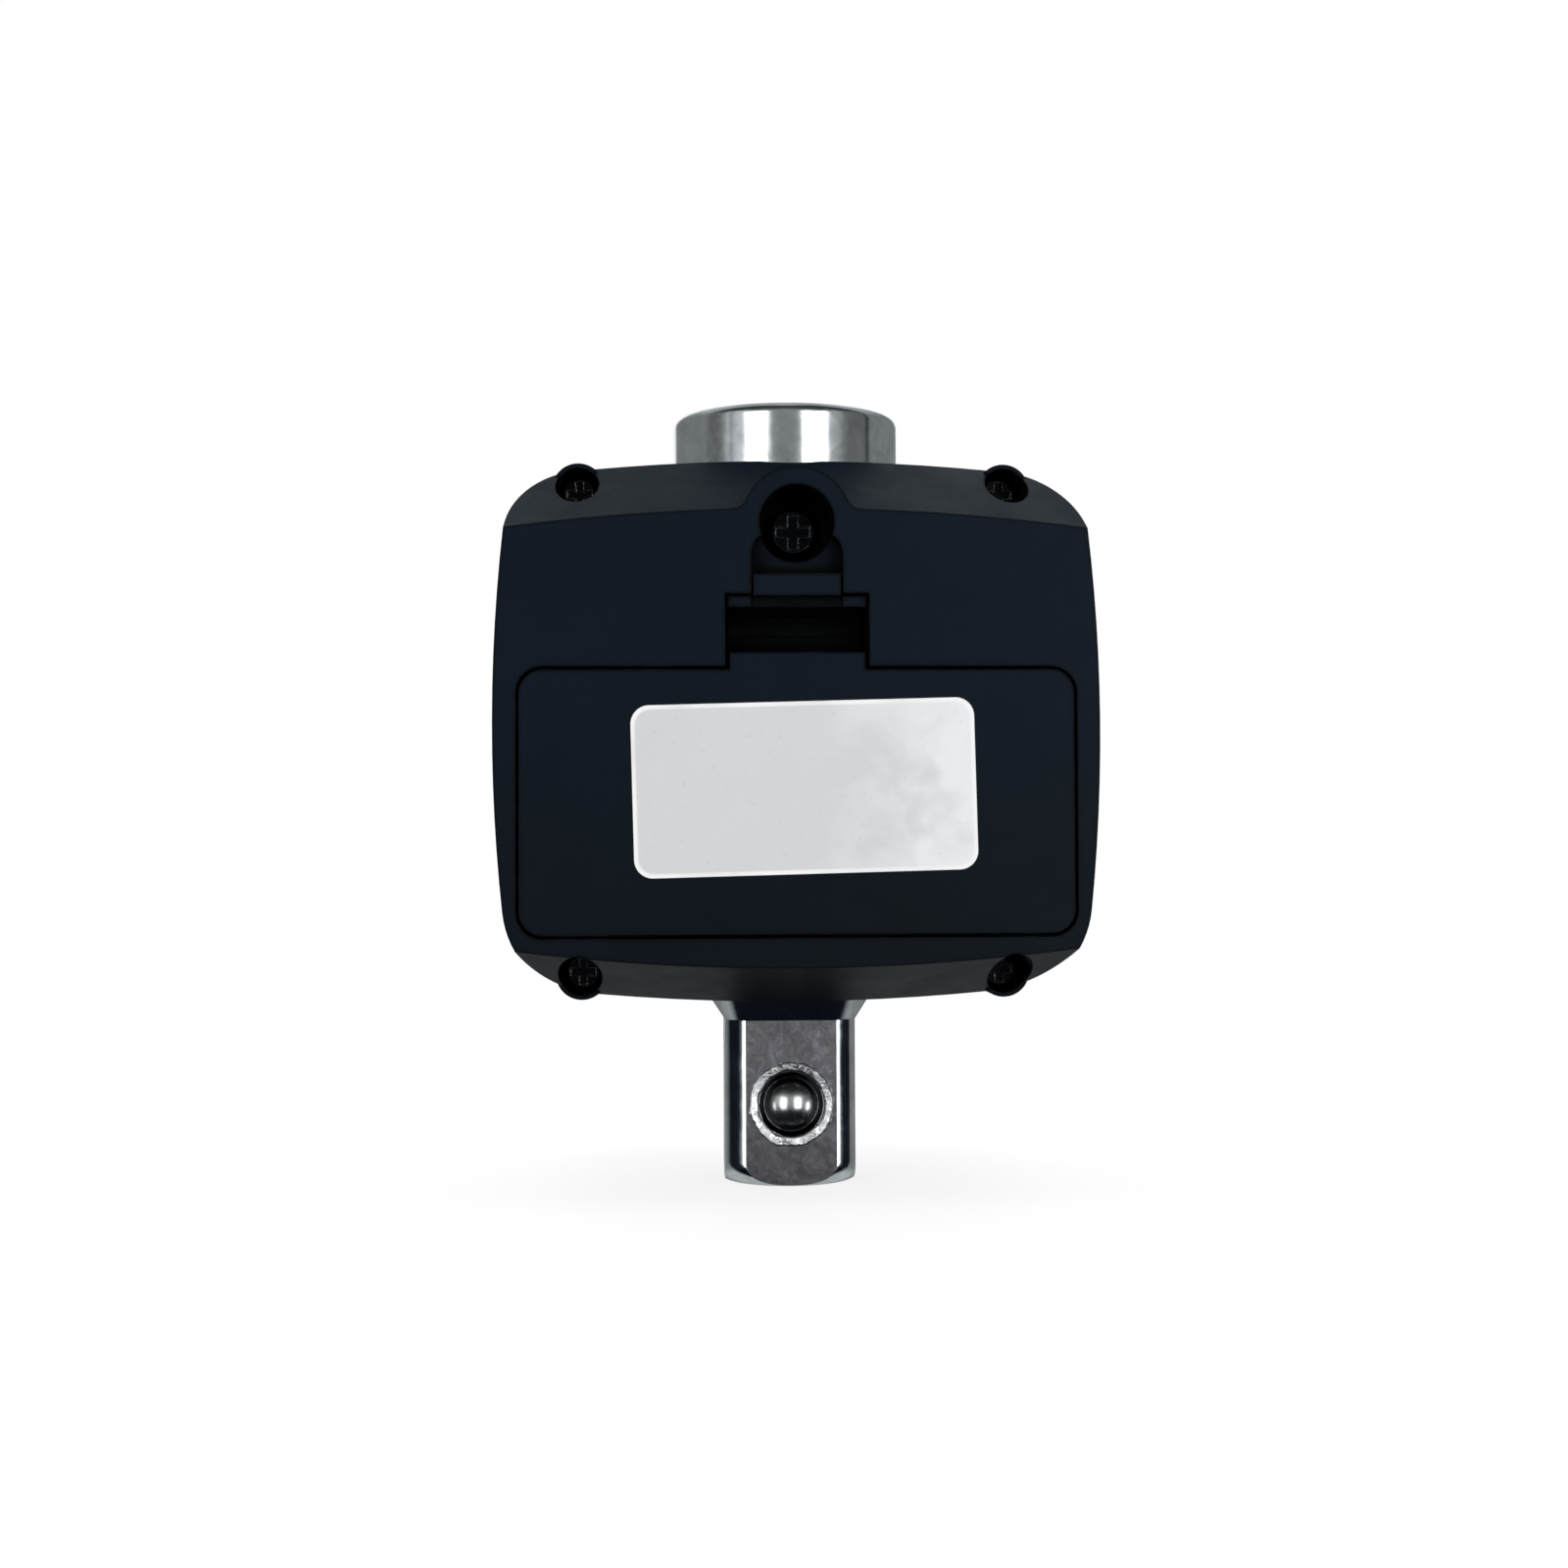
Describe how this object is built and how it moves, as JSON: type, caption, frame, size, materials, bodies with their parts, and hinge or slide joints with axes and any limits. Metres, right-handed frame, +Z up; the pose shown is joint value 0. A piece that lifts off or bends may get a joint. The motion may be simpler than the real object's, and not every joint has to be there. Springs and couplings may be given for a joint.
{
  "type": "digital torque meter",
  "caption": "Battery powered digital torque adapter: black meter body clamped round a half inch square drive shaft, with display, keys and rear battery cover.",
  "frame": {"origin": "on the shaft's axis, at the end face of the male square", "axes": "+Z runs up the shaft from the male square to the female square; +Y points out of the display side; the battery side that the picture shows faces -Y; +X is to the right in the picture"},
  "size_m": [0.0554, 0.0449, 0.0756],
  "materials": {
    "housing_plastic": "fine matte black moulding",
    "label_film": "pale silver film, bare",
    "drive_steel": "satin chrome plated steel, polished head",
    "ball_steel": "polished ball",
    "spring_steel": "bright spring wire",
    "gauge_foil": "amber film over foil",
    "gauge_wire": "enamelled wire",
    "black_screw": "black oxide",
    "clear_lens": "clear, glossy",
    "display_glass": "grey green display",
    "diffuser": "milky diffuser",
    "zebra_rubber": "soft strip",
    "circuit_board": "green solder mask",
    "zinc_screw": "zinc plated",
    "chip_plastic": "moulded black",
    "led_green": "tinted, glossy",
    "led_red": "tinted, glossy",
    "mat_rubber": "matte silicone",
    "key_power_rubber": "matte silicone",
    "key_rubber": "matte silicone",
    "battery_can": "plain foil sleeve, no print",
    "contact_metal": "nickel plated",
    "red_insulation": "satin insulation",
    "black_insulation": "satin insulation"
  },
  "bodies": {
    "meter_body": {"rear_housing": "housing_plastic", "front_housing": "housing_plastic", "torque_shaft": "drive_steel", "ball_spring": "spring_steel", "strain_gauges": "gauge_foil", "gauge_wires": "gauge_wire", "centre_screw": "black_screw", "corner_screws": "black_screw", "lcd_lens": "clear_lens", "lcd_glass": "display_glass", "lcd_backlight": "diffuser", "zebra_strips": "zebra_rubber", "main_pcb": "circuit_board", "pcb_screws": "zinc_screw", "board_chips": "chip_plastic", "buzzer": "chip_plastic", "led_green": "led_green", "led_red": "led_red", "keypad_mat": "mat_rubber", "battery_upper": "battery_can", "battery_lower": "battery_can", "contact_bridge": "contact_metal", "contact_plus": "contact_metal", "contact_minus": "contact_metal", "bridge_spring": "contact_metal", "minus_spring": "contact_metal", "wire_red": "red_insulation", "wire_black": "black_insulation"},
    "cover": {"battery_cover": "housing_plastic", "label": "label_film"},
    "latch": {"cover_latch": "housing_plastic"},
    "ball": {"detent_ball": "ball_steel"},
    "power_button": {"key_power": "key_power_rubber"},
    "unit_button": {"key_unit": "key_rubber"},
    "mode_button": {"key_mode": "key_rubber"},
    "up_button": {"key_up": "key_rubber"},
    "down_button": {"key_down": "key_rubber"}
  },
  "joints": [
    {"name": "cover_hinge", "type": "hinge", "parent": "meter_body", "child": "cover", "pos_m": [0, -0.0214, 0.025], "axis": [1, 0, 0], "range_deg": [0, 60]},
    {"name": "latch_flex", "type": "hinge", "parent": "cover", "child": "latch", "pos_m": [0, -0.0158, 0.05278], "axis": [1, 0, 0], "range_deg": [0, 9], "stiffness_Nm_per_rad": 0.05},
    {"name": "ball_detent", "type": "slide", "parent": "meter_body", "child": "ball", "axis": [0, 1, 0], "range_m": [0, 0.0009], "stiffness_N_per_m": 400, "deforming": ["ball_spring"]},
    {"name": "power_press", "type": "slide", "parent": "meter_body", "child": "power_button", "axis": [0, -1, 0], "range_m": [0, 0.0008], "stiffness_N_per_m": 300},
    {"name": "unit_press", "type": "slide", "parent": "meter_body", "child": "unit_button", "axis": [0, -1, 0], "range_m": [0, 0.0008], "stiffness_N_per_m": 300},
    {"name": "mode_press", "type": "slide", "parent": "meter_body", "child": "mode_button", "axis": [0, -1, 0], "range_m": [0, 0.0008], "stiffness_N_per_m": 300},
    {"name": "up_press", "type": "slide", "parent": "meter_body", "child": "up_button", "axis": [0, -1, 0], "range_m": [0, 0.0008], "stiffness_N_per_m": 300},
    {"name": "down_press", "type": "slide", "parent": "meter_body", "child": "down_button", "axis": [0, -1, 0], "range_m": [0, 0.0008], "stiffness_N_per_m": 300}
  ]
}
